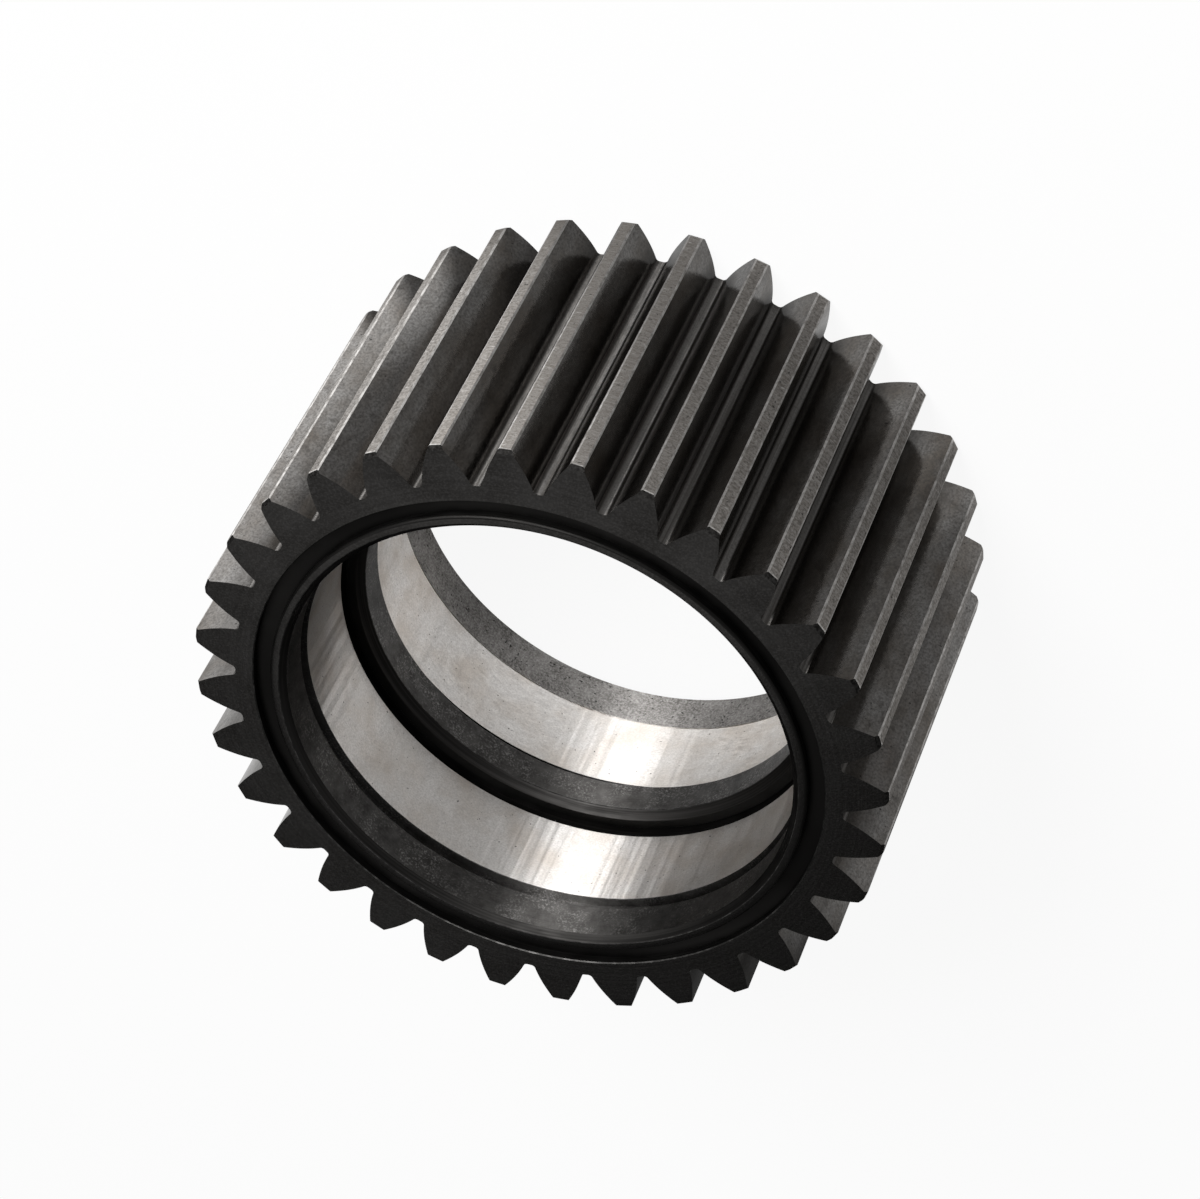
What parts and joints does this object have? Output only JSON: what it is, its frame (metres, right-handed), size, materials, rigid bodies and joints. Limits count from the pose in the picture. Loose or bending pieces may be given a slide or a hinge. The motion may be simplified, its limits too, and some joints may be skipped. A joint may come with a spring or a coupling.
{
  "type": "planet gear",
  "caption": "Wide spur planet gear with involute teeth, a stepped bore with bearing seats either side of a central rib, a snap-ring groove and a ring groove in the front face.",
  "frame": {"origin": "centre of the gear's back end face, on the axis of its bore, at the bottom of the gear as it stands", "axes": "+Z along the bore axis, from the back face to the front face with the snap-ring groove; +X through the middle of a tooth"},
  "size_m": [0.207, 0.207, 0.112],
  "materials": {
    "gear_steel": "ground tooth flanks, tips and bearing seats, with darker turned end faces"
  },
  "bodies": {
    "root": {"planet_gear": "gear_steel"}
  },
  "joints": []
}
